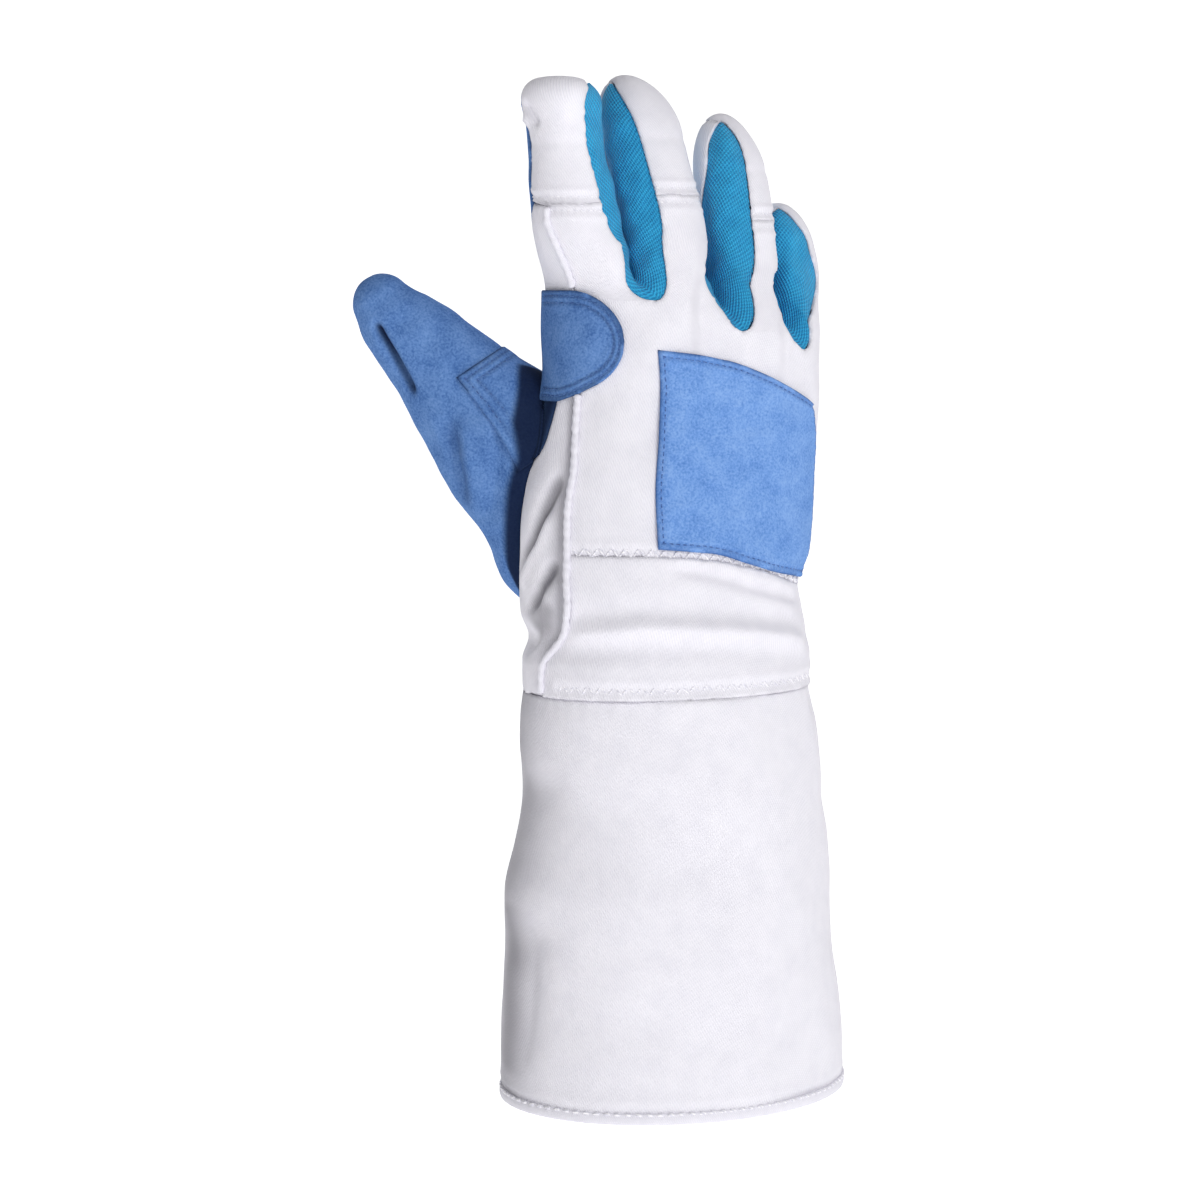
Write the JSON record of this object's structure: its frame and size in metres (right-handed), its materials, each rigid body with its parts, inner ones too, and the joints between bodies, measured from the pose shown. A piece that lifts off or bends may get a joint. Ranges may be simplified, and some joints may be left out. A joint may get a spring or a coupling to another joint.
{
  "type": "fencing glove",
  "caption": "Long-cuffed padded fencing glove for the right hand, white cloth back and cuff, suede palm and thumb, knit gussets between the fingers.",
  "frame": {"origin": "middle of the opening that the forearm goes into, on the plane of the hem", "axes": "+Z from the opening along the forearm and hand to the fingertips, -Y out of the back of the hand, +Y out of the palm, -X towards the thumb"},
  "size_m": [0.1693, 0.1098, 0.3665],
  "materials": {
    "white_padded_fabric": "woven polyester cloth over thin padding",
    "white_binding": "folded cloth binding and covered piping",
    "blue_suede": "napped suede leather",
    "pale_blue_suede": "napped suede leather, paler",
    "turquoise_knit": "stretch knit with fine slanted ribs"
  },
  "bodies": {
    "root": {"cuff": "white_padded_fabric", "cuff_hem": "white_binding", "wrist_band": "white_padded_fabric", "side_strip": "white_padded_fabric", "side_piping_lower": "white_binding", "side_piping_upper": "white_binding", "hand_back": "white_padded_fabric", "index_tip_back": "white_padded_fabric", "middle_tip_back": "white_padded_fabric", "ring_tip_back": "white_padded_fabric", "middle_front": "white_padded_fabric", "ring_front": "white_padded_fabric", "pinky_front": "white_padded_fabric", "index_middle_fourchette": "turquoise_knit", "middle_ring_fourchette": "turquoise_knit", "ring_pinky_fourchette": "turquoise_knit", "palm_suede": "blue_suede", "thumb": "blue_suede", "thumb_patch": "blue_suede", "knuckle_patch": "blue_suede", "back_patch": "pale_blue_suede"}
  },
  "joints": []
}
